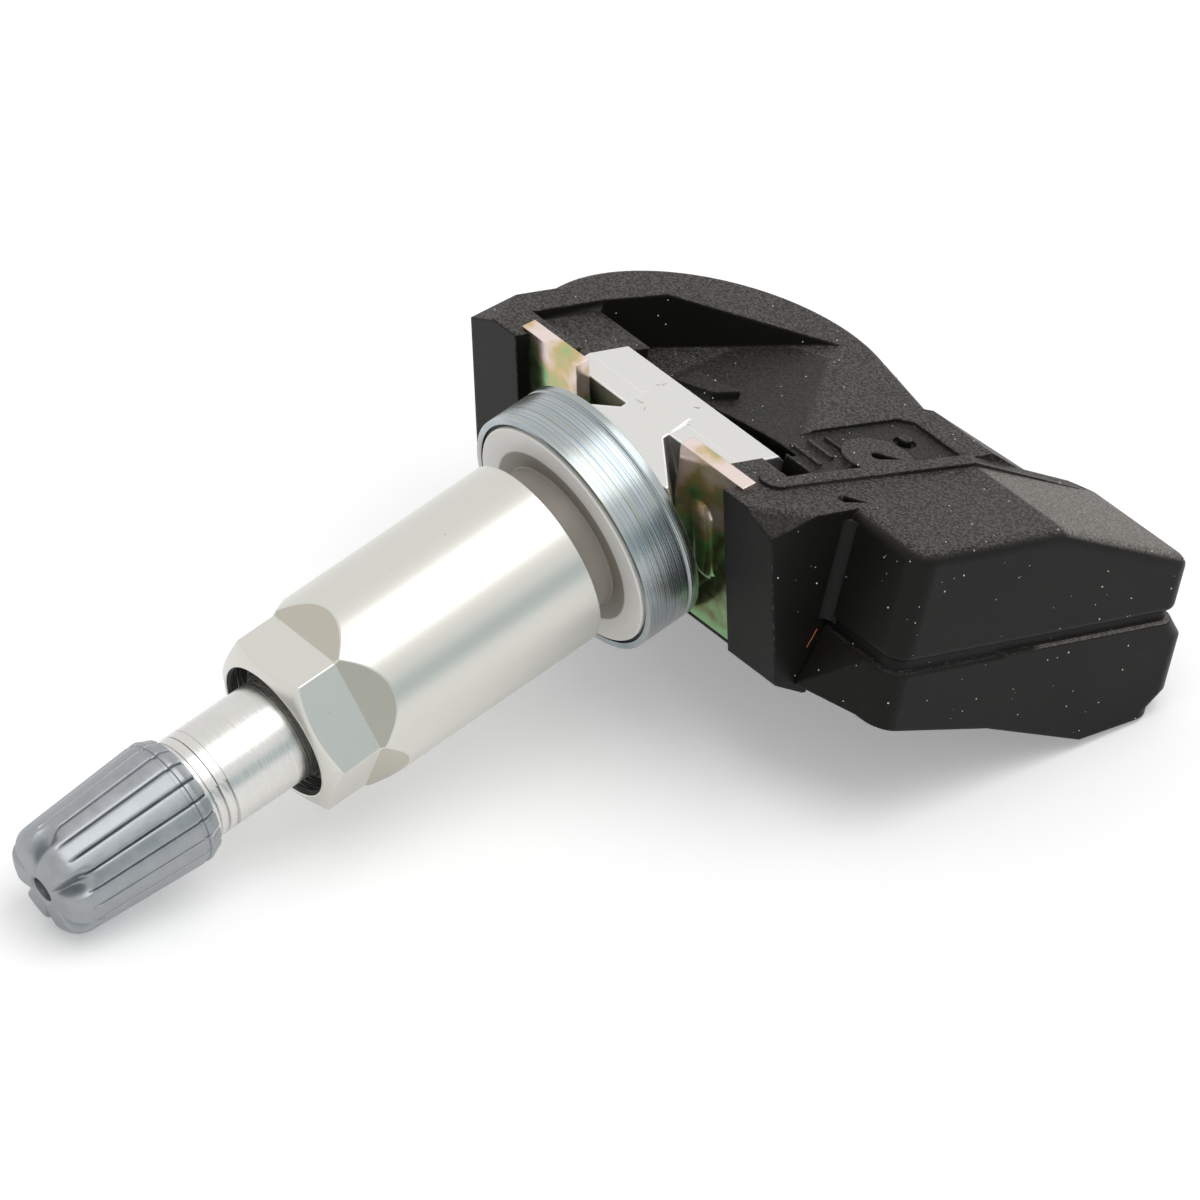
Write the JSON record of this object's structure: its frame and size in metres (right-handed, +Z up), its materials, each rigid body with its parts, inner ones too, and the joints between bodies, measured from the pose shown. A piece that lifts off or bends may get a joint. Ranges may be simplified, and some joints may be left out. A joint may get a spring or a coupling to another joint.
{
  "type": "tyre pressure sensor",
  "caption": "Clamp-in tyre pressure sensor: valve stem with hex sleeve nut and screw cap, tilting in a bracket plate on a moulded casing that holds the cell and board.",
  "frame": {"origin": "centre of the collar's seating face, on the stem's axis, where the wheel's inner face sits", "axes": "lying as it rests on a table: +Z up, -Y towards the valve cap, +X to the box side of the casing; the stem points along (0, -0.966, -0.259)"},
  "size_m": [0.0426, 0.0833, 0.0259],
  "materials": {
    "glass_filled_nylon": "moulded, grained on top, satin at the sides",
    "chromated_steel": "yellow chromate over zinc, olive with pink and green",
    "board_laminate": "solder resist, satin",
    "cell_steel": "bright stamped can",
    "nickel_strip": "bright rolled strip",
    "chip_resin": "moulded resin",
    "silicone": "soft grey",
    "membrane_felt": "white matte sheet",
    "ferrite": "fired, dull grey",
    "enamelled_copper": "wound wire, glossy",
    "crystal_can": "bright lid",
    "aerial_strip": "rolled strip",
    "ceramic": "fired ceramic",
    "turned_aluminium": "bright, with fine turning marks",
    "zinc_plated_steel": "blue zinc over turning lines",
    "seal_rubber": "moulded, matte black",
    "collar_metal": "nickel plated, satin",
    "core_brass": "turned",
    "spring_wire": "drawn wire",
    "washer_steel": "zinc plated",
    "anodised_nut": "satin anodised, pale champagne",
    "cap_metal": "satin grey plating"
  },
  "bodies": {
    "housing": {"upper_housing": "glass_filled_nylon", "lower_cover": "glass_filled_nylon", "bracket_plate": "chromated_steel", "circuit_board": "board_laminate", "battery_cell": "cell_steel", "battery_tab_top": "nickel_strip", "battery_tab_bottom": "nickel_strip", "pressure_sensor": "chip_resin", "port_seal": "silicone", "vent_membrane": "membrane_felt", "ferrite_core": "ferrite", "coil_winding": "enamelled_copper", "crystal": "crystal_can", "aerial": "aerial_strip", "chip_capacitors": "ceramic"},
    "stem": {"valve_stem": "turned_aluminium", "clamp_ring": "zinc_plated_steel", "rubber_grommet": "seal_rubber", "seal_collar": "collar_metal", "core_body": "core_brass", "core_gasket": "seal_rubber", "core_spring": "spring_wire"},
    "nut_washer": {"nut_slip_washer": "washer_steel"},
    "nut": {"sleeve_nut": "anodised_nut"},
    "cap_seal": {"cap_gasket": "seal_rubber"},
    "cap": {"valve_cap": "cap_metal"},
    "core": {"core_pin": "core_brass", "core_seat": "seal_rubber"}
  },
  "joints": [
    {"name": "stem_tilt", "type": "hinge", "parent": "housing", "child": "stem", "pos_m": [0, 0.01048, 0.00281], "axis": [-1, 0, 0], "range_deg": [-2, 14]},
    {"name": "nut_travel", "type": "slide", "parent": "stem", "child": "nut_washer", "axis": [0, -0.9659, -0.2588], "range_m": [0, 0.0105]},
    {"name": "nut_turn", "type": "hinge", "parent": "nut_washer", "child": "nut", "pos_m": [0, 0, 0], "axis": [0, -0.9659, -0.2588], "range_deg": [0, 5040]},
    {"name": "cap_travel", "type": "slide", "parent": "stem", "child": "cap_seal", "axis": [0, -0.9659, -0.2588], "range_m": [0, 0.00873]},
    {"name": "cap_turn", "type": "hinge", "parent": "cap_seal", "child": "cap", "pos_m": [0, -0.04089, -0.01096], "axis": [0, -0.9659, -0.2588], "range_deg": [0, 3960]},
    {"name": "core_press", "type": "slide", "parent": "stem", "child": "core", "axis": [0, 0.9659, 0.2588], "range_m": [0, 0.0012], "stiffness_N_per_m": 400, "deforming": ["core_spring"]}
  ],
  "couplings": [
    {"joint": "nut_turn", "follows": "nut_travel", "rad_per_m": 8377.6},
    {"joint": "cap_turn", "follows": "cap_travel", "rad_per_m": 7913.3}
  ]
}
